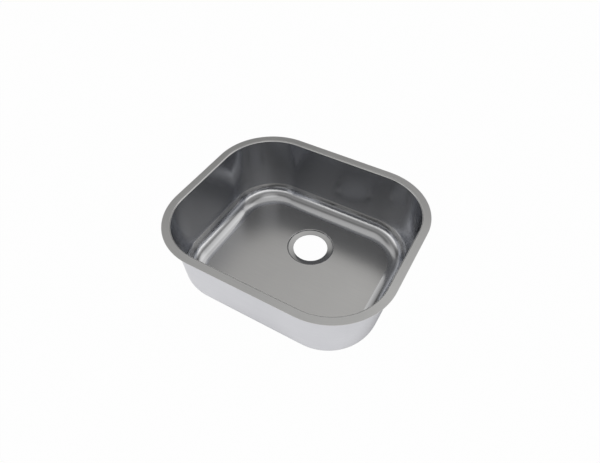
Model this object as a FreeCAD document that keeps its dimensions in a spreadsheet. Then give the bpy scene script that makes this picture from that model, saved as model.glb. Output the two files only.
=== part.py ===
import FreeCAD, Part
import os
import Sketcher

# An undermount kitchen sink: one bowl drawn from stainless sheet, with a flat flange round its top that goes
# up against the underside of a worktop, and three rubber pads bonded under its floor to deaden the sound.
# Millimetres. +X runs along the long side, +Y to the back, where the drain is, and +Z up. The origin lies
# under the middle of the flange, at the height of the sink's lowest point, the drain hole's lower edge.

DIMENSIONS = {
    # The mouth, measured between the walls at the top of the flange, and the depth to the floor inside.
    "bowl_length": 509.2,
    "bowl_width": 431.2,
    "bowl_corner": 128.6,
    "bowl_depth": 180.8,
    "flange_width": 19.4,
    "sheet_thickness": 1.2,
    # How far the walls lean in towards the floor, in degrees from upright.
    "wall_draft": 3.9,
    # Inside radii of the sheet's bends, from flange to wall and from wall to floor.
    "flange_bend": 1.8,
    "floor_bend": 43.3,
    # Rounding of the flange's sheared edge.
    "edge_break": 0.3,
    # The drain: how far it lies behind the middle, its hole, and the seat pressed down round it, to a drop at
    # the hole. The seat's wall leans by the draft, from upright, and its ledge falls by the slope.
    "drain_back": 66.0,
    "drain_radius": 44.5,
    "seat_radius": 60.0,
    "seat_drop": 4.5,
    "seat_draft": 35.0,
    "ledge_slope": 7.0,
    # Inside radii of the seat's two bends, at the floor and at the foot of its wall.
    "seat_bend": 1.2,
    "ledge_bend": 1.2,
    # The pads under the floor: their thickness, corners and rounded edges, and the room left round the seat.
    "pad_thickness": 3.6,
    "pad_corner": 16.0,
    "pad_edge": 0.8,
    "pad_gap": 14.0,
    "front_pad_length": 280.0,
    "front_pad_width": 112.0,
    "side_pad_length": 88.0,
    "side_pad_width": 118.0,
}

# What follows from the dimensions. The boss is the drain seat's underside, and the rim is the circle where
# the seat's wall meets its ledge.
FORMULAS = {
    "wall_reach": "=sheet_thickness / cos(wall_draft)",
    "hole_height": "=sheet_thickness / cos(ledge_slope)",
    "under_floor": "=bowl_depth + sheet_thickness",
    "stand_height": "=bowl_depth + seat_drop + hole_height",
    "outside_length": "=bowl_length + 2 * wall_reach",
    "outside_width": "=bowl_width + 2 * wall_reach",
    "outside_corner": "=bowl_corner + wall_reach",
    "flange_length": "=bowl_length + 2 * flange_width",
    "flange_depth": "=bowl_width + 2 * flange_width",
    "flange_corner": "=bowl_corner + flange_width",
    "seat_lean": "=tan(seat_draft)",
    "ledge_fall": "=tan(ledge_slope)",
    "rim_radius": "=(seat_radius - seat_lean * (seat_drop + drain_radius * ledge_fall))"
    " / (1 - seat_lean * ledge_fall)",
    "rim_drop": "=seat_drop - (rim_radius - drain_radius) * ledge_fall",
    "boss_radius": "=seat_radius + sheet_thickness * (1 / cos(seat_draft) - seat_lean)",
    "boss_drop": "=seat_drop + hole_height - sheet_thickness",
    "boss_rim_radius": "=(boss_radius - seat_lean * (boss_drop + drain_radius * ledge_fall))"
    " / (1 - seat_lean * ledge_fall)",
    "boss_rim_drop": "=boss_drop - (boss_rim_radius - drain_radius) * ledge_fall",
}

OUT_FOLDER = "parts"
ONE_SHEET = "sizes.sheet_thickness"
TOUCH = 1e-4
FULL_TURN = 360
# How a sketch counts a line's or an arc's points, and its own axes and origin.
START, END, CENTRE = range(1, 4)
X_AXIS, Y_AXIS = range(-1, -3, -1)
ORIGIN = (X_AXIS, START)


def make_sheet(document):
    """The spreadsheet "sizes", with one named cell for each dimension and each formula."""
    table = document.addObject("Spreadsheet::Sheet", "sizes")
    for row, (name, content) in enumerate((DIMENSIONS | FORMULAS).items(), start=1):
        table.set(f"A{row}", name)
        table.set(f"B{row}", str(content))
        table.setAlias(f"B{row}", name)
    document.recompute()
    return table


doc = FreeCAD.newDocument("undermount_sink")
sizes = make_sheet(doc)


def size(name):
    return float(sizes.get(name))


def make_body(name, place):
    """An empty body, at a place whose coordinates are formulas of the sheet."""
    body = doc.addObject("PartDesign::Body", name)
    body.Label = name
    for axis, formula in place.items():
        body.setExpression(f"Placement.Base.{axis}", formula)
    return body


def add_sketch(body, name, plane="XY_Plane"):
    """An empty sketch on one of the body's own origin planes."""
    support = next(item for item in body.Origin.OriginFeatures if item.Role == plane)
    sketch = body.newObject("Sketcher::SketchObject", name)
    sketch.AttachmentSupport = [(support, "")]
    sketch.MapMode = "FlatFace"
    return sketch


def add_section(body, name):
    """An empty sketch on the upright plane through the drain's axis, which is the sketch's own Y axis."""
    sketch = add_sketch(body, name, "XZ_Plane")
    sketch.setExpression("AttachmentOffset.Base.z", "-sizes.drain_back")
    return sketch


def set_dimension(sketch, name, formula, kind, *geometry):
    """A dimension in a sketch, with a name of its own, tied to one size of the sheet."""
    index = sketch.addConstraint(Sketcher.Constraint(kind, *geometry, size(formula)))
    sketch.renameConstraint(index, name)
    sketch.setExpression(f"Constraints.{name}", f"sizes.{formula}")


def draw_rounded_rectangle(sketch, length, width, corner):
    """A rounded rectangle about the sketch's origin, given the names of its three sizes."""
    radius = size(corner)
    centre_x = size(length) / 2 - radius
    centre_y = size(width) / 2 - radius
    centres = [(centre_x, centre_y), (-centre_x, centre_y), (-centre_x, -centre_y), (centre_x, -centre_y)]
    centres = [FreeCAD.Vector(x, y, 0) for x, y in centres]
    compass = [FreeCAD.Vector(x, y, 0) for x, y in ((1, 0), (0, 1), (-1, 0), (0, -1))]
    arcs, sides = [], []
    for index, centre in enumerate(centres):
        following = (index + 1) % 4
        start, end = compass[index] * radius, compass[following] * radius
        middle = (compass[index] + compass[following]).normalize() * radius
        arcs.append(sketch.addGeometry(Part.Arc(centre + start, centre + middle, centre + end)))
        side = Part.LineSegment(centre + end, centres[following] + end)
        sides.append(sketch.addGeometry(side))
    for index in range(4):
        after = arcs[(index + 1) % 4]
        sketch.addConstraint(Sketcher.Constraint("Tangent", arcs[index], END, sides[index], START))
        sketch.addConstraint(Sketcher.Constraint("Tangent", sides[index], END, after, START))
        direction = "Vertical" if index % 2 else "Horizontal"
        sketch.addConstraint(Sketcher.Constraint(direction, sides[index]))
    for arc in arcs[1:]:
        sketch.addConstraint(Sketcher.Constraint("Equal", arcs[0], arc))
    top, left, bottom, right = sides
    sketch.addConstraint(Sketcher.Constraint("Symmetric", arcs[0], CENTRE, arcs[2], CENTRE, *ORIGIN))
    set_dimension(sketch, "length", length, "DistanceX", left, START, right, START)
    set_dimension(sketch, "width", width, "DistanceY", bottom, START, top, START)
    set_dimension(sketch, "corner", corner, "Radius", arcs[0])


def draw_seat_section(sketch, floor, radius, rim_radius, rim_drop, drop):
    """Half a section of the drain seat, given the names of its sizes: out along the floor from the drain's
    axis, down the seat's wall to its rim, in along the ledge to the hole, and back to the axis."""
    depth = size(floor)
    corners = [
        (0, depth),
        (size(radius), depth),
        (size(rim_radius), depth + size(rim_drop)),
        (size("drain_radius"), depth + size(drop)),
        (0, depth + size(drop)),
    ]
    points = [FreeCAD.Vector(across, -down, 0) for across, down in corners]
    lines = [sketch.addGeometry(Part.LineSegment(*ends)) for ends in zip(points, points[1:] + points[:1])]
    for line, following in zip(lines, lines[1:] + lines[:1]):
        sketch.addConstraint(Sketcher.Constraint("Coincident", line, END, following, START))
    along_floor, down_wall, along_ledge, under_hole, _ = lines
    for line in (along_floor, under_hole):
        sketch.addConstraint(Sketcher.Constraint("Horizontal", line))
    sketch.addConstraint(Sketcher.Constraint("PointOnObject", along_floor, START, Y_AXIS))
    sketch.addConstraint(Sketcher.Constraint("PointOnObject", under_hole, END, Y_AXIS))
    set_dimension(sketch, "floor", floor, "DistanceY", along_floor, START, *ORIGIN)
    set_dimension(sketch, "radius", radius, "DistanceX", *ORIGIN, down_wall, START)
    set_dimension(sketch, "rim_radius", rim_radius, "DistanceX", *ORIGIN, along_ledge, START)
    set_dimension(sketch, "rim_drop", rim_drop, "DistanceY", along_ledge, START, along_floor, START)
    set_dimension(sketch, "hole_radius", "drain_radius", "DistanceX", *ORIGIN, under_hole, START)
    set_dimension(sketch, "drop", drop, "DistanceY", under_hole, START, along_floor, START)


def draw_drain_circle(sketch):
    """The drain hole's outline, behind the middle of the bowl."""
    centre = FreeCAD.Vector(0, size("drain_back"), 0)
    circle = sketch.addGeometry(Part.Circle(centre, FreeCAD.Vector(0, 0, 1), size("drain_radius")))
    sketch.addConstraint(Sketcher.Constraint("PointOnObject", circle, CENTRE, Y_AXIS))
    set_dimension(sketch, "back", "drain_back", "DistanceY", *ORIGIN, circle, CENTRE)
    set_dimension(sketch, "radius", "drain_radius", "Radius", circle)


def extrude_down(body, kind, name, sketch, length, draft=None):
    """A Pad or a Pocket, down from the sketch. A draft draws its sides in on the way."""
    feature = body.newObject(f"PartDesign::{kind}", name)
    feature.Profile = sketch
    feature.Reversed = kind == "Pad"
    feature.setExpression("Length", f"sizes.{length}")
    if draft:
        feature.setExpression("TaperAngle", f"-sizes.{draft}")
    doc.recompute()


def turn(body, kind, name, section):
    """A full Revolution or Groove about the section's own Y axis."""
    feature = body.newObject(f"PartDesign::{kind}", name)
    feature.Profile = section
    feature.ReferenceAxis = (section, ["V_Axis"])
    feature.Angle = FULL_TURN
    doc.recompute()


def round_edges(body, name, edges, radius):
    """Rounds edges of the body as it stands. The radius is a formula of the sheet."""
    base = body.Tip
    feature = body.newObject("PartDesign::Fillet", name)
    feature.Base = (base, edges)
    feature.setExpression("Radius", radius)
    doc.recompute()


def edges_at(body, depth):
    """The body's edges that lie flat at a depth below its origin, as a list of names and boxes."""
    boxes = [(f"Edge{index}", edge.BoundBox) for index, edge in enumerate(body.Tip.Shape.Edges, start=1)]
    return [(name, box) for name, box in boxes if max(abs(box.ZMin + depth), abs(box.ZMax + depth)) < TOUCH]


def all_edges(body, depth):
    return [name for name, _ in edges_at(body, depth)]


def flange_edges(body, depth, outer):
    """Names of the edges at a depth that lie outside the flange's middle line, or inside it."""
    half_length = (size("bowl_length") + size("flange_width")) / 2
    half_width = (size("bowl_width") + size("flange_width")) / 2
    found = []
    for name, box in edges_at(body, depth):
        beyond_length = max(box.XMax, -box.XMin) > half_length
        beyond_width = max(box.YMax, -box.YMin) > half_width
        if (beyond_length or beyond_width) == outer:
            found.append(name)
    return found


def drain_ring(body, depth, radius):
    """Names of the circular edges round the drain at a depth and a radius."""
    width = 2 * radius
    return [name for name, box in edges_at(body, depth) if abs(box.XLength - width) < TOUCH * width]


def add_blank(body):
    """The tapered block and the flange plate, with the bowl's hollow cut down through them."""
    outside = add_sketch(body, "outside_outline")
    draw_rounded_rectangle(outside, "outside_length", "outside_width", "outside_corner")
    extrude_down(body, "Pad", "outside_block", outside, "under_floor", "wall_draft")
    flange = add_sketch(body, "flange_outline")
    draw_rounded_rectangle(flange, "flange_length", "flange_depth", "flange_corner")
    extrude_down(body, "Pad", "flange_plate", flange, "sheet_thickness")
    mouth = add_sketch(body, "mouth_outline")
    draw_rounded_rectangle(mouth, "bowl_length", "bowl_width", "bowl_corner")
    extrude_down(body, "Pocket", "bowl_hollow", mouth, "bowl_depth", "wall_draft")


def add_bends(body):
    """The bends from wall to floor and from flange to wall, each one sheet wider on its outside, and the
    flange's broken edges."""
    sheet = size("sheet_thickness")
    round_edges(body, "floor_bend_inside", all_edges(body, size("bowl_depth")), "sizes.floor_bend")
    under_edges = all_edges(body, size("under_floor"))
    round_edges(body, "floor_bend_outside", under_edges, f"sizes.floor_bend + {ONE_SHEET}")
    under_flange = flange_edges(body, sheet, outer=False)
    round_edges(body, "flange_bend_inside", under_flange, "sizes.flange_bend")
    over_mouth = flange_edges(body, 0, outer=False)
    round_edges(body, "flange_bend_outside", over_mouth, f"sizes.flange_bend + {ONE_SHEET}")
    sheared = flange_edges(body, 0, outer=True) + flange_edges(body, sheet, outer=True)
    round_edges(body, "flange_edge_break", sheared, "sizes.edge_break")


def add_drain_seat(body):
    """The seat pressed down round the drain, one sheet thick, and the hole in its middle."""
    boss = add_section(body, "boss_section")
    draw_seat_section(boss, "under_floor", "boss_radius", "boss_rim_radius", "boss_rim_drop", "boss_drop")
    turn(body, "Revolution", "seat_boss", boss)
    recess = add_section(body, "recess_section")
    draw_seat_section(recess, "bowl_depth", "seat_radius", "rim_radius", "rim_drop", "seat_drop")
    turn(body, "Groove", "seat_recess", recess)
    shoulder = drain_ring(body, size("bowl_depth"), size("seat_radius"))
    round_edges(body, "seat_bend_outside", shoulder, f"sizes.seat_bend + {ONE_SHEET}")
    boss_root = drain_ring(body, size("under_floor"), size("boss_radius"))
    round_edges(body, "seat_bend_inside", boss_root, "sizes.seat_bend")
    rim = drain_ring(body, size("bowl_depth") + size("rim_drop"), size("rim_radius"))
    round_edges(body, "ledge_bend_inside", rim, "sizes.ledge_bend")
    boss_rim = drain_ring(body, size("under_floor") + size("boss_rim_drop"), size("boss_rim_radius"))
    round_edges(body, "ledge_bend_outside", boss_rim, f"sizes.ledge_bend + {ONE_SHEET}")
    circle = add_sketch(body, "drain_circle")
    draw_drain_circle(circle)
    extrude_down(body, "Pocket", "drain_hole", circle, "stand_height")


def make_sink_bowl():
    """The drawn bowl, whose own origin is in the middle of the flange's top face."""
    body = make_body("sink_bowl", {"z": "sizes.stand_height"})
    add_blank(body)
    add_bends(body)
    add_drain_seat(body)
    return body


def make_pad(name, length, width, place):
    """A rubber pad, whose top face is bonded to the underside of the floor."""
    body = make_body(name, place | {"z": "sizes.stand_height - sizes.under_floor"})
    outline = add_sketch(body, f"{name}_outline")
    draw_rounded_rectangle(outline, length, width, "pad_corner")
    extrude_down(body, "Pad", f"{name}_block", outline, "pad_thickness")
    round_edges(body, f"{name}_edge", all_edges(body, size("pad_thickness")), "sizes.pad_edge")
    return body


def make_pads():
    """One wide pad in front of the drain seat, and a small one on each side of it."""
    seat_side = "sizes.boss_radius + sizes.pad_gap"
    in_front = {"y": f"sizes.drain_back - ({seat_side} + sizes.front_pad_width / 2)"}
    pads = [make_pad("floor_pad_front", "front_pad_length", "front_pad_width", in_front)]
    for side, sign in (("left", "-"), ("right", "")):
        beside = {"x": f"{sign}({seat_side} + sizes.side_pad_length / 2)", "y": "sizes.drain_back"}
        pads.append(make_pad(f"floor_pad_{side}", "side_pad_length", "side_pad_width", beside))
    return pads


def check_document():
    """Stops if an object failed to rebuild, or a body isn't one valid solid."""
    for item in doc.Objects:
        if {"Invalid", "Error"} & set(item.State):
            raise RuntimeError(f"{item.Name} could not be rebuilt: {item.State}")
    for body in bodies:
        shape = body.Shape
        if shape.isNull() or not shape.isValid() or len(shape.Solids) != 1:
            raise RuntimeError(f"{body.Label} isn't one valid solid")


def export_bodies():
    """Writes one STEP file for each body, named by its label."""
    os.makedirs(OUT_FOLDER, exist_ok=True)
    for body in bodies:
        body.Shape.exportStep(f"{OUT_FOLDER}/{body.Label}.step")
        print(f"{body.Label}: {body.Shape.Volume:.0f} cubic mm")


bodies = [make_sink_bowl(), *make_pads()]
doc.recompute()
check_document()
export_bodies()
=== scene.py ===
import math

import bpy
from mathutils import Matrix, Vector


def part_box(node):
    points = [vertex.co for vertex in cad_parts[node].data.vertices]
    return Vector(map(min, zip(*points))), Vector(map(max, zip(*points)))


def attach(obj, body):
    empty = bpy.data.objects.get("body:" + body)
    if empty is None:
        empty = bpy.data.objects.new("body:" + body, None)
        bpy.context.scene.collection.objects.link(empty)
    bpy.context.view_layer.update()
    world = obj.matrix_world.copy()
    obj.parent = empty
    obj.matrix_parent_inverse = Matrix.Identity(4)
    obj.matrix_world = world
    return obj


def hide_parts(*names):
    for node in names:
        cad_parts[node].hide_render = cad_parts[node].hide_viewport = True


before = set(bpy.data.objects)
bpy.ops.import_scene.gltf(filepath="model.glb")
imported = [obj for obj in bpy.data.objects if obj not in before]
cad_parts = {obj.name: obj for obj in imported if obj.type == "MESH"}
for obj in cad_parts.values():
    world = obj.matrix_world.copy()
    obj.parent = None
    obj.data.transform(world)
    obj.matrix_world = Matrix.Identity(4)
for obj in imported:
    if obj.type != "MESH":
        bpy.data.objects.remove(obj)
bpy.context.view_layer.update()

# An undermount kitchen sink: a bowl drawn from one stainless sheet, and three rubber pads under its floor.
# Metres, and the solids' own frame: +X along the long side, +Y to the back, +Z up, the lowest point at 0.

MM = 0.001

# The bowl's sizes, which are the solid's. The bends are those of the face that is seen from above.
FLANGE_WIDTH = 19.4 * MM
SHEET = 1.2 * MM
MOUTH_CORNER = 128.6 * MM
BOWL_DEPTH = 180.8 * MM
WALL_DRAFT = math.radians(3.9)
LIP_BEND = 3.0 * MM
FLOOR_BEND = 43.3 * MM
EDGE_BREAK = 0.3 * MM
DRAIN = Vector((0, 66.0 * MM))
DRAIN_RADIUS = 44.5 * MM
SEAT_RADIUS = 60.0 * MM
SEAT_DROP = 4.5 * MM
SEAT_DRAFT = math.radians(35)
LEDGE_SLOPE = math.radians(7)
SEAT_BEND = 2.4 * MM
LEDGE_BEND = 1.2 * MM

# The mouth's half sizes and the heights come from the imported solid.
_, bowl_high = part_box("sink_bowl")
MOUTH = Vector((bowl_high.x - FLANGE_WIDTH, bowl_high.y - FLANGE_WIDTH))
TOP = bowl_high.z
FLOOR = TOP - BOWL_DEPTH

# How finely the bowl's surface is divided.
CORNER_STEPS = 40
SIDE_STEP = 7 * MM
RUN_STEP = 14 * MM
ARC_STEP = math.radians(3)
LEAST_ARC_STEPS = 4
FLOOR_RINGS = 8


def flat_normal(before, after):
    """The normal of a section's line, on the right of its way."""
    way = (after - before).normalized()
    return Vector((way.y, -way.x))


def bend(before, corner, after, radius):
    """An arc that rounds a section's corner, as (point, normal) pairs along it."""
    start, end = flat_normal(before, corner), flat_normal(corner, after)
    turn = math.atan2(start.cross(end), start.dot(end))
    side = -math.copysign(radius, turn)
    centre = corner + (start + end) * side / (1 + start.dot(end))
    steps = max(LEAST_ARC_STEPS, math.ceil(abs(turn) / ARC_STEP))
    normals = [Matrix.Rotation(turn * step / steps, 2) @ start for step in range(steps + 1)]
    return [(centre - normal * side, normal) for normal in normals]


def join(*bends):
    """Bends in order along a section, with the straight runs between them divided evenly."""
    line = list(bends[0])
    for arc in bends[1:]:
        start, normal = line[-1]
        end = arc[0][0]
        steps = math.ceil((end - start).length / RUN_STEP)
        line += [(start.lerp(end, step / steps), normal) for step in range(1, steps)]
        line += arc
    return line


def other_face(line):
    """The sheet's other face, back along a section."""
    return [(point - normal * SHEET, -normal) for point, normal in reversed(line)]


def side_section():
    """From the flange over the lip and down the wall to the floor, as five parts: the flange's rim, its
    top, the lip, the wall, and the floor's bend. Across is measured out from the mouth."""
    edge = Vector((FLANGE_WIDTH, TOP))
    lip = Vector((0, TOP))
    foot = Vector((-BOWL_DEPTH * math.tan(WALL_DRAFT), FLOOR))
    inwards = Vector((-MOUTH_CORNER, FLOOR))
    below = Vector((0, -SHEET))
    rim = bend(lip + below, edge + below, edge, EDGE_BREAK) + bend(edge + below, edge, lip, EDGE_BREAK)
    lip_arc = bend(edge, lip, foot, LIP_BEND)
    foot_arc = bend(lip, foot, inwards, FLOOR_BEND)
    top = join(rim, lip_arc)[len(rim):-len(lip_arc)]
    wall = join(lip_arc, foot_arc)[len(lip_arc) - 1:-len(foot_arc)]
    return rim, top, lip_arc[:-1], wall, foot_arc


def seat_section():
    """From the floor down the drain's seat to its hole: the seat's part and the hole's. Across is
    measured out from the drain's axis."""
    lean, fall = math.tan(SEAT_DRAFT), math.tan(LEDGE_SLOPE)
    ledge_radius = (SEAT_RADIUS - lean * (SEAT_DROP + DRAIN_RADIUS * fall)) / (1 - lean * fall)
    ledge_drop = SEAT_DROP - (ledge_radius - DRAIN_RADIUS) * fall
    outwards = Vector((2 * SEAT_RADIUS, FLOOR))
    shoulder = Vector((SEAT_RADIUS, FLOOR))
    ledge = Vector((ledge_radius, FLOOR - ledge_drop))
    hole = Vector((DRAIN_RADIUS, FLOOR - SEAT_DROP))
    below = Vector((0, -SHEET / math.cos(LEDGE_SLOPE)))
    seat = join(bend(outwards, shoulder, ledge, SEAT_BEND), bend(shoulder, ledge, hole, LEDGE_BEND))
    hole_edge = bend(ledge, hole, hole + below, EDGE_BREAK)
    hole_edge += bend(hole, hole + below, ledge + below, EDGE_BREAK)
    return seat, hole_edge


def mouth_stations():
    """Places round the mouth's rounded rectangle, as the point that each turns about and its way out from
    there."""
    centre = MOUTH - Vector((MOUTH_CORNER, MOUTH_CORNER))
    signs = ((1, 1), (-1, 1), (-1, -1), (1, -1))
    centres = [Vector((centre.x * x, centre.y * y)) for x, y in signs]
    stations = []
    for quarter, (here, after) in enumerate(zip(centres, centres[1:] + centres[:1])):
        for step in range(CORNER_STEPS):
            angle = (quarter + step / CORNER_STEPS) * math.pi / 2
            stations.append((here, Vector((math.cos(angle), math.sin(angle)))))
        side = after - here
        steps = math.ceil(side.length / SIDE_STEP)
        out = Vector((side.y, -side.x)).normalized()
        for step in range(steps):
            stations.append((here + side * step / steps, out))
    return stations


def mouth_ring(stations, point, normal):
    """A section's point carried round the mouth, as (place, normal) pairs."""
    ring = []
    for centre, out in stations:
        place = centre + out * (MOUTH_CORNER + point.x)
        ring.append((Vector((*place, point.y)), Vector((*(out * normal.x), normal.y))))
    return ring


def drain_ring(spokes, point, normal):
    """A section's point carried round the drain, as (place, normal) pairs."""
    ring = []
    for spoke in spokes:
        place = DRAIN + spoke * point.x
        ring.append((Vector((*place, point.y)), Vector((*(spoke * normal.x), normal.y))))
    return ring


def floor_rings(outer, inner):
    """Flat rings between a ring round the floor and one round the drain."""
    rings = []
    for step in range(1, FLOOR_RINGS):
        share = step / FLOOR_RINGS
        rings.append([(a.lerp(b, share), normal) for (a, normal), (b, _) in zip(outer, inner)])
    return rings


def bowl_rings(stations):
    """The sheet's whole surface as closed rings, each with the name of its zone: in over the flange, down the
    wall, across the floor to the hole, and back along the underside."""
    rim, top, lip, wall, floor_bend = side_section()
    seat, hole = seat_section()
    foot = mouth_ring(stations, *floor_bend[-1])
    spokes = [(place.xy - DRAIN).normalized() for place, _ in foot]

    def round_mouth(line):
        return [mouth_ring(stations, *pair) for pair in line]

    def round_drain(line):
        return [drain_ring(spokes, *pair) for pair in line]

    seat_rings = round_drain(seat)
    under_seat = round_drain(other_face(seat))
    outside = round_mouth(other_face(top + lip + wall + floor_bend))
    zones = [
        ("flange", round_mouth(rim + top)),
        ("lip", round_mouth(lip)),
        ("wall", round_mouth(wall)),
        ("bend", round_mouth(floor_bend[:-1])),
        ("floor", [foot] + floor_rings(foot, seat_rings[0])),
        ("seat", seat_rings + round_drain(hole)),
        ("underfloor", under_seat + floor_rings(under_seat[-1], outside[0])),
        ("outside", outside),
    ]
    return [(zone, ring) for zone, rings in zones for ring in rings]


def along_ring(ring):
    """How far along a closed ring each of its places is, ending with its whole length."""
    places = [place for place, _ in ring]
    along = [0]
    for here, after in zip(places, places[1:] + places[:1]):
        along.append(along[-1] + (after - here).length)
    return along


# The zones whose grain runs along the sink. The others' runs round the mouth or the drain.
FLAT_ZONES = ("floor", "underfloor")


def sheet_faces(rings, zone_names):
    """The faces between closed rings and from the last ring to the first, the UV places of their corners,
    and the place of each face's zone among the names."""
    around = len(rings[0][1])
    first_seat_ring = next(ring for zone, ring in rings if zone == "seat")
    along = {zone: along_ring(rings[0][1]) for zone in zone_names} | {"seat": along_ring(first_seat_ring)}
    faces, uvs, slots = [], [], []
    across = 0
    for row, (zone, ring) in enumerate(rings):
        next_row = (row + 1) % len(rings)
        following = rings[next_row][1]
        first, next_first = row * around, next_row * around
        width = (following[0][0] - ring[0][0]).length
        for step in range(around):
            beside = (step + 1) % around
            faces.append([first + step, first + beside, next_first + beside, next_first + step])
            if zone in FLAT_ZONES:
                corners = (ring[step], ring[beside], following[beside], following[step])
                uvs += [place.xy for place, _ in corners]
            else:
                start, end = along[zone][step:step + 2]
                uvs += [(start, across), (end, across), (end, across + width), (start, across + width)]
        slots += [zone_names.index(zone)] * around
        across += width
    return faces, uvs, slots


def make_bowl(finishes):
    """The bowl as one closed mesh, with exact normals and a finish for each zone. In its UV map, in metres,
    U runs with the grain: along the sink on its flat floor, and elsewhere round the mouth or the drain."""
    rings = bowl_rings(mouth_stations())
    faces, uvs, slots = sheet_faces(rings, list(finishes))
    mesh = bpy.data.meshes.new("bowl_sheet")
    mesh.from_pydata([place for _, ring in rings for place, _ in ring], [], faces)
    for finish in finishes.values():
        mesh.materials.append(finish)
    mesh.polygons.foreach_set("material_index", slots)
    mesh.polygons.foreach_set("use_smooth", [True] * len(faces))
    uv_map = mesh.uv_layers.new(name=GRAIN_MAP)
    uv_map.data.foreach_set("uv", [value for uv in uvs for value in uv])
    mesh.normals_split_custom_set_from_vertices([normal for _, ring in rings for _, normal in ring])
    bowl = bpy.data.objects.new("bowl_sheet", mesh)
    bpy.context.scene.collection.objects.link(bowl)
    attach(bowl, "root")
    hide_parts("sink_bowl")


# The name of the bowl's UV map, and the finishes' colours, some of which hold painted shade and painted
# light.
GRAIN_MAP = "grain"
SATIN_STEEL = (0.62, 0.616, 0.605)
FLOOR_STEEL = (0.59, 0.583, 0.57)
# The wall's colour is darker than the steel's own: painted shade.
WALL_STEEL_PAINTED_SHADE = (0.41, 0.42, 0.447)
# The bend's colour is lighter than the steel's own: a painted highlight.
BEND_STEEL_PAINTED_HIGHLIGHT = (0.68, 0.68, 0.685)
# The seat's colour is darker than the steel's own: painted shade.
SEAT_STEEL_PAINTED_SHADE = (0.52, 0.517, 0.51)
# The outside's colour is lighter and bluer than the steel's own: painted light.
OUTER_STEEL_PAINTED_LIGHT = (0.64, 0.642, 0.67)
RUBBER = (0.05, 0.05, 0.053)

# The turn of a finish whose reflections are drawn out across its grain, and along it.
ACROSS_GRAIN = 0.25
ALONG_GRAIN = 0.0

# The steel's streaks, fine and broad: their sizes along U and across it, their height, how strongly it shows,
# and how much they change the tone. The clouds, which change the roughness, have a size in the part's space.
FINE_STREAKS = (30 * MM, 0.5 * MM, MM)
BROAD_STREAKS = (120 * MM, 3 * MM, MM)
STREAK_HEIGHT = 0.01 * MM
STREAK_STRENGTH = 0.1
STREAK_CONTRAST = 0.03
CLOUDS = (70 * MM, 70 * MM, 70 * MM)

# The rubber's moulded grain, with its height and strength, and its bloom, with its change of tone and its
# limits of roughness.
MOULD_GRAIN = (0.9 * MM, 0.9 * MM, 0.9 * MM)
MOULD_HEIGHT = 0.15 * MM
MOULD_STRENGTH = 0.35
BLOOM = (30 * MM, 22 * MM, 30 * MM)
BLOOM_CONTRAST = 0.25
BLOOM_ROUGHNESS = (0.68, 0.86)

# The values between which most of a noise lies.
NOISE_MIDDLE = (0.3, 0.7)


def add_node(tree, kind, inputs=None, **settings):
    """A shader node. Its inputs, by identifier, are numbers, colours or other nodes' sockets."""
    node = tree.nodes.new(f"ShaderNode{kind}")
    for name, value in settings.items():
        setattr(node, name, value)
    sockets = {socket.identifier: socket for socket in node.inputs}
    for name, value in (inputs or {}).items():
        if isinstance(value, bpy.types.NodeSocket):
            tree.links.new(value, sockets[name])
        else:
            sockets[name].default_value = value
    return node


def new_material(name):
    """A material and its Principled shader."""
    material = bpy.data.materials.new(name)
    material.use_nodes = True
    return material, material.node_tree.nodes["Principled BSDF"]


def noise(tree, place, size, detail=2.0):
    """Noise whose grains have a size in metres along each axis of the place."""
    scaled = add_node(tree, "Mapping", {"Vector": place, "Scale": [1 / length for length in size]})
    inputs = {"Vector": scaled.outputs[0], "Scale": 1.0, "Detail": detail}
    return add_node(tree, "TexNoise", inputs).outputs["Fac"]


def spread(tree, value, low, high):
    """A noise's middle values spread between two numbers."""
    start, end = NOISE_MIDDLE
    inputs = {"Value": value, "From Min": start, "From Max": end, "To Min": low, "To Max": high}
    return add_node(tree, "MapRange", inputs).outputs["Result"]


def mixed(tree, share, colour, other):
    """A mix of two colours."""
    inputs = {"Factor_Float": share, "A_Color": colour, "B_Color": other}
    mix = add_node(tree, "Mix", inputs, data_type="RGBA")
    return next(socket for socket in mix.outputs if socket.identifier == "Result_Color")


def tinted(tree, value, colour, contrast):
    """A colour made darker or lighter by a share, by a noise's value."""
    dark, light = ([tone * (1 + share) for tone in colour] + [1] for share in (-contrast, contrast))
    return mixed(tree, spread(tree, value, 0, 1), dark, light)


def make_steel(name, tone, roughness, anisotropy=0.0, turn=ACROSS_GRAIN):
    """Brushed stainless steel, whose grain runs along U. The roughness is a pair of limits, and the turn is
    the way in which its reflections are drawn out."""
    material, shader = new_material(name)
    tree = material.node_tree
    where = add_node(tree, "TexCoord")
    fine = noise(tree, where.outputs["UV"], FINE_STREAKS)
    broad = noise(tree, where.outputs["UV"], BROAD_STREAKS)
    clouds = noise(tree, where.outputs["Object"], CLOUDS)
    streaks = add_node(tree, "Mix", {"Factor_Float": 0.5, "A_Float": fine, "B_Float": broad}).outputs[0]
    bump_inputs = {"Strength": STREAK_STRENGTH, "Distance": STREAK_HEIGHT, "Height": streaks}
    bump = add_node(tree, "Bump", bump_inputs)
    tangent = add_node(tree, "Tangent", direction_type="UV_MAP", uv_map=GRAIN_MAP)
    tree.links.new(tinted(tree, streaks, tone, STREAK_CONTRAST), shader.inputs["Base Color"])
    tree.links.new(spread(tree, clouds, *roughness), shader.inputs["Roughness"])
    tree.links.new(bump.outputs[0], shader.inputs["Normal"])
    tree.links.new(tangent.outputs[0], shader.inputs["Tangent"])
    shader.inputs["Metallic"].default_value = 1.0
    shader.inputs["Anisotropic"].default_value = anisotropy
    shader.inputs["Anisotropic Rotation"].default_value = turn
    return material


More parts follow.
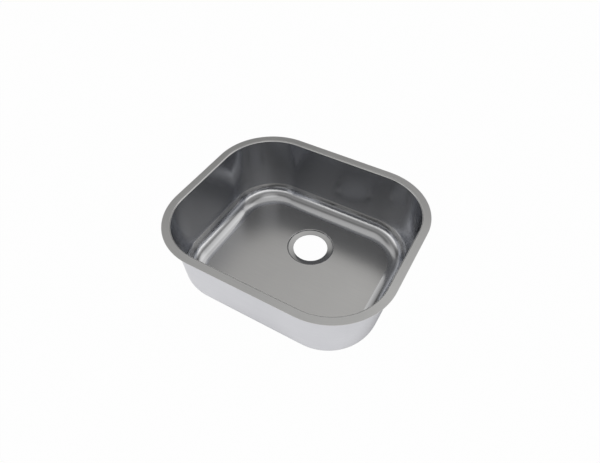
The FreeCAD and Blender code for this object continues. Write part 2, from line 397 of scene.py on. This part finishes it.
def make_rubber():
    """The pads' black rubber, with the fine grain of its mould and a dull bloom in patches."""
    material, shader = new_material("pad_rubber_finish")
    tree = material.node_tree
    place = add_node(tree, "TexCoord").outputs["Object"]
    grain = noise(tree, place, MOULD_GRAIN)
    bloom = noise(tree, place, BLOOM, detail=4.0)
    bump_inputs = {"Strength": MOULD_STRENGTH, "Distance": MOULD_HEIGHT, "Height": grain}
    bump = add_node(tree, "Bump", bump_inputs)
    tree.links.new(tinted(tree, bloom, RUBBER, BLOOM_CONTRAST), shader.inputs["Base Color"])
    tree.links.new(spread(tree, bloom, *BLOOM_ROUGHNESS), shader.inputs["Roughness"])
    tree.links.new(bump.outputs[0], shader.inputs["Normal"])
    return material


def finish_pads():
    """The pads keep their solids, and get the rubber."""
    rubber = make_rubber()
    for name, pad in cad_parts.items():
        if name.startswith("floor_pad"):
            pad.data.materials.clear()
            pad.data.materials.append(rubber)


# The camera, which looks at a point of the flange's plane as the photograph does. Its lens is in millimetres.
CAMERA_AZIMUTH = math.radians(29.8)
CAMERA_ELEVATION = math.radians(47.93)
CAMERA_DISTANCE = 1.0169
CAMERA_TARGET = Vector((0.0315, -0.0437, TOP))
CAMERA_LENS = 28.16


def way_back(azimuth, elevation):
    """The way from the object to a viewer at an azimuth and an elevation."""
    level = math.cos(elevation)
    return Vector((math.sin(azimuth) * level, -math.cos(azimuth) * level, math.sin(elevation)))


def make_camera():
    """The camera, at the photograph's viewing angle."""
    back = way_back(CAMERA_AZIMUTH, CAMERA_ELEVATION)
    camera = bpy.data.objects.new("camera", bpy.data.cameras.new("camera"))
    camera.data.lens = CAMERA_LENS
    camera.location = CAMERA_TARGET + back * CAMERA_DISTANCE
    camera.rotation_mode = "QUATERNION"
    camera.rotation_quaternion = (-back).to_track_quat("-Z", "Y")
    bpy.context.scene.collection.objects.link(camera)
    bpy.context.scene.camera = camera


# The half size and the own colour of the floor that the sink stands on.
STAGE_HALF = 12.0
STAGE_COLOUR = (0.85, 0.85, 0.85, 1)

# How much of that floor's look is plain white, the rest being its own lit colour.
STAGE_GLOW = 0.98

# The shade that the sink throws on the floor under it, as its steel reflects it: the colour, the half sizes
# along X and Y, and the shares of them over which it fades.
SHADE_COLOUR = (0.60, 0.60, 0.60, 1)
SHADE_HALF = (0.36, 0.24, 1)
SHADE_FADE = (1.0, 0.7)


def make_floor_finish():
    """The floor's look. The camera and the steel see it white, and it keeps a little of the sink's shadow.
    The steel also reflects the shade under the sink."""
    material = bpy.data.materials.new("floor")
    material.use_nodes = True
    tree = material.node_tree
    tree.nodes.clear()

    def maths(operation, value, other, **settings):
        inputs = {"Value": value, "Value_001": other}
        return add_node(tree, "Math", inputs, operation=operation, **settings).outputs[0]

    path = add_node(tree, "LightPath").outputs
    place = add_node(tree, "TexCoord").outputs["Object"]
    share_inputs = {"Vector": place, "Vector_001": SHADE_HALF}
    share = add_node(tree, "VectorMath", share_inputs, operation="DIVIDE").outputs[0]
    away = add_node(tree, "VectorMath", {"Vector": share}, operation="LENGTH").outputs["Value"]
    shaded_inputs = {"Value": away, "From Min": SHADE_FADE[0], "From Max": SHADE_FADE[1]}
    shaded = add_node(tree, "MapRange", shaded_inputs).outputs["Result"]
    steel = maths("ADD", path["Is Glossy Ray"], path["Is Transmission Ray"])
    shade = maths("MULTIPLY", steel, shaded)
    seen = maths("SUBTRACT", maths("ADD", path["Is Camera Ray"], steel, use_clamp=True), shade)
    colour = mixed(tree, shade, STAGE_COLOUR, SHADE_COLOUR)
    diffuse = add_node(tree, "BsdfDiffuse", {"Color": colour})
    white = add_node(tree, "Emission")
    shaders = {"Shader": diffuse.outputs[0], "Shader_001": white.outputs[0]}
    mix = add_node(tree, "MixShader", {"Fac": maths("MULTIPLY", seen, STAGE_GLOW)} | shaders)
    add_node(tree, "OutputMaterial", {"Surface": mix.outputs[0]})
    return material


def make_floor():
    """The plain pale floor that the sink stands on."""
    mesh = bpy.data.meshes.new("floor")
    corners = [(x * STAGE_HALF, y * STAGE_HALF, 0) for x, y in ((-1, -1), (1, -1), (1, 1), (-1, 1))]
    mesh.from_pydata(corners, [], [(0, 1, 2, 3)])
    mesh.materials.append(make_floor_finish())
    floor = bpy.data.objects.new("floor", mesh)
    bpy.context.scene.collection.objects.link(floor)


# The studio's light by elevation, as (degrees, strength) pairs: across from the camera, and elsewhere.
ACROSS_AZIMUTH = 210
ACROSS = (
    (0, 1.1), (11, 1.1), (15, 0.12), (35, 0.12), (40, 0.37), (45, 0.50), (58, 0.64), (70, 0.58), (90, 0.52),
)
AROUND = (
    (0, 1.3), (23, 1.3), (28, 0.55), (33, 0.45), (37, 0.20),
    (45, 0.34), (54, 0.18), (59, 0.18), (66, 0.50), (90, 0.56),
)

# The cosines of the angle from the level way across between which the light goes from the one to the other.
CHANGE = (0.1, 0.5)

# The softboxes, a high one above the camera's right, one across and one behind the sink's right: each one's
# azimuth and elevation, the angles from there of its clear middle and of its faded edge, in degrees, and its
# strength.
SOFTBOXES = (
    ((45, 60), (6, 20), 0.25),
    ((190, 52), (4, 16), 0.12),
    ((148, 54), (5, 19), 0.45),
)


def nearness(tree, place, azimuth, elevation):
    """The cosine of the angle between the way to a place and the way at an azimuth and an elevation."""
    way = way_back(math.radians(azimuth), math.radians(elevation))
    inputs = {"Vector": place, "Vector_001": way}
    return add_node(tree, "VectorMath", inputs, operation="DOT_PRODUCT").outputs["Value"]


def eased(tree, value, start, end, most=1.0):
    """A number that eases from 0 to its most as a value goes from a start to an end."""
    inputs = {"Value": value, "From Min": start, "From Max": end, "To Max": most}
    return add_node(tree, "MapRange", inputs, interpolation_type="SMOOTHSTEP").outputs["Result"]


def by_elevation(tree, height, stops):
    """A strength that follows elevation, given the height that the way there has."""
    brightest = max(strength for _, strength in stops)
    ramp = add_node(tree, "ValToRGB", {"Fac": height})
    steps = ramp.color_ramp.elements
    for elevation, _ in stops[len(steps):]:
        steps.new(math.sin(math.radians(elevation)))
    for step, (elevation, strength) in zip(steps, stops):
        step.position = math.sin(math.radians(elevation))
        step.color = [strength / brightest] * 3 + [1]
    inputs = {"Value": ramp.outputs["Color"], "Value_001": brightest}
    return add_node(tree, "Math", inputs, operation="MULTIPLY").outputs[0]


def make_world():
    """The studio's soft light: the room across and around, and the softboxes."""
    world = bpy.data.worlds.new("studio")
    world.use_nodes = True
    tree = world.node_tree
    tree.nodes.clear()
    place = add_node(tree, "TexCoord").outputs["Generated"]
    height = add_node(tree, "SeparateXYZ", {"Vector": place}).outputs["Z"]
    room_inputs = {
        "Factor_Float": eased(tree, nearness(tree, place, ACROSS_AZIMUTH, 0), *CHANGE),
        "A_Float": by_elevation(tree, height, AROUND),
        "B_Float": by_elevation(tree, height, ACROSS),
    }
    light = add_node(tree, "Mix", room_inputs).outputs[0]
    for place_there, angles, strength in SOFTBOXES:
        middle, edge = (math.cos(math.radians(angle)) for angle in angles)
        softbox = eased(tree, nearness(tree, place, *place_there), edge, middle, strength)
        light = add_node(tree, "Math", {"Value": light, "Value_001": softbox}, operation="ADD").outputs[0]
    background = add_node(tree, "Background", {"Color": (1, 1, 1, 1), "Strength": light})
    add_node(tree, "OutputWorld", {"Surface": background.outputs[0]})
    bpy.context.scene.world = world


# The wall's and the seat's finishes hold painted shade, the bend's a painted highlight, and the outside's and
# the underfloor's painted light.
make_bowl({
    "flange": make_steel("flange_finish", SATIN_STEEL, (0.28, 0.32), anisotropy=0.5),
    "wall": make_steel("wall_finish_painted_shade", WALL_STEEL_PAINTED_SHADE, (0.19, 0.21), anisotropy=0.65),
    "lip": make_steel("lip_finish", SATIN_STEEL, (0.11, 0.13)),
    "bend": make_steel("bend_finish_painted_highlight", BEND_STEEL_PAINTED_HIGHLIGHT, (0.14, 0.16), anisotropy=0.3),
    "floor": make_steel("floor_finish", FLOOR_STEEL, (0.28, 0.30), anisotropy=0.5, turn=ALONG_GRAIN),
    "seat": make_steel("seat_finish_painted_shade", SEAT_STEEL_PAINTED_SHADE, (0.06, 0.08)),
    "underfloor": make_steel("underfloor_finish_painted_light", OUTER_STEEL_PAINTED_LIGHT, (0.38, 0.46)),
    "outside": make_steel("outside_finish_painted_light", OUTER_STEEL_PAINTED_LIGHT, (0.34, 0.42), anisotropy=0.3),
})
finish_pads()
make_camera()
make_floor()
make_world()
bpy.context.scene.view_settings.view_transform = "Standard"
